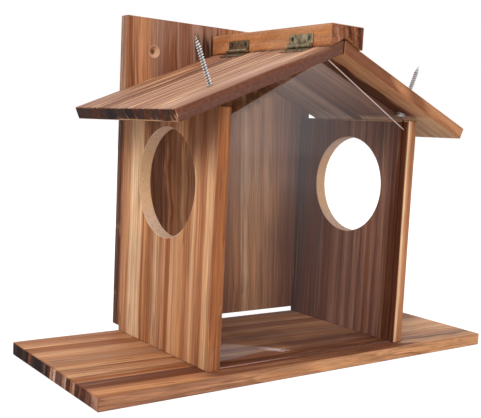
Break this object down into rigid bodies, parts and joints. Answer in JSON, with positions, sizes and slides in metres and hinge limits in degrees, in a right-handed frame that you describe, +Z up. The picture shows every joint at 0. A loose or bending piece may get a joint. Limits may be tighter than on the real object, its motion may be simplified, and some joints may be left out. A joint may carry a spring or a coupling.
{
  "type": "bird feeder",
  "caption": "Gable-roofed wooden feeder on a wide perch board, with round side doorways, a clear front window, a lifting roof half and upright food spikes.",
  "frame": {"origin": "centre of the base board's underside", "axes": "+X to the house's right seen from the front and along the base board, +Y towards the back board, +Z up"},
  "size_m": [0.4, 0.1769, 0.287],
  "materials": {
    "base_wood": "flame-darkened softwood, oiled",
    "wall_wood": "flame-darkened softwood, oiled",
    "back_wood": "flame-darkened softwood, oiled",
    "roof_wood": "flame-darkened softwood, oiled",
    "cap_wood": "flame-darkened softwood, oiled",
    "clear_acrylic": "clear sheet",
    "hinge_brass": "dull antique plating",
    "spike_steel": "bright zinc",
    "screw_steel": "yellow zinc"
  },
  "bodies": {
    "house": {"base_board": "base_wood", "left_wall": "wall_wood", "right_wall": "wall_wood", "back_board": "back_wood", "left_roof_panel": "roof_wood", "acrylic_window": "clear_acrylic", "left_spike_screw": "spike_steel", "left_wall_base_screws": "screw_steel", "right_wall_base_screws": "screw_steel", "left_wall_back_screws": "screw_steel", "right_wall_back_screws": "screw_steel", "left_roof_back_screws": "screw_steel", "front_hinge_roof_leaf": "hinge_brass", "rear_hinge_roof_leaf": "hinge_brass", "front_hinge_pin": "hinge_brass", "rear_hinge_pin": "hinge_brass", "front_hinge_roof_screws": "hinge_brass", "rear_hinge_roof_screws": "hinge_brass"},
    "lid": {"right_roof_panel": "roof_wood", "ridge_cap": "cap_wood", "right_spike_screw": "spike_steel", "ridge_cap_screws": "screw_steel", "front_hinge_cap_leaf": "hinge_brass", "rear_hinge_cap_leaf": "hinge_brass", "front_hinge_cap_screws": "hinge_brass", "rear_hinge_cap_screws": "hinge_brass"}
  },
  "joints": [
    {"name": "roof_lift", "type": "hinge", "parent": "house", "child": "lid", "pos_m": [-0.0189, 0, 0.26242], "axis": [0, -1, 0], "range_deg": [0, 105]}
  ]
}
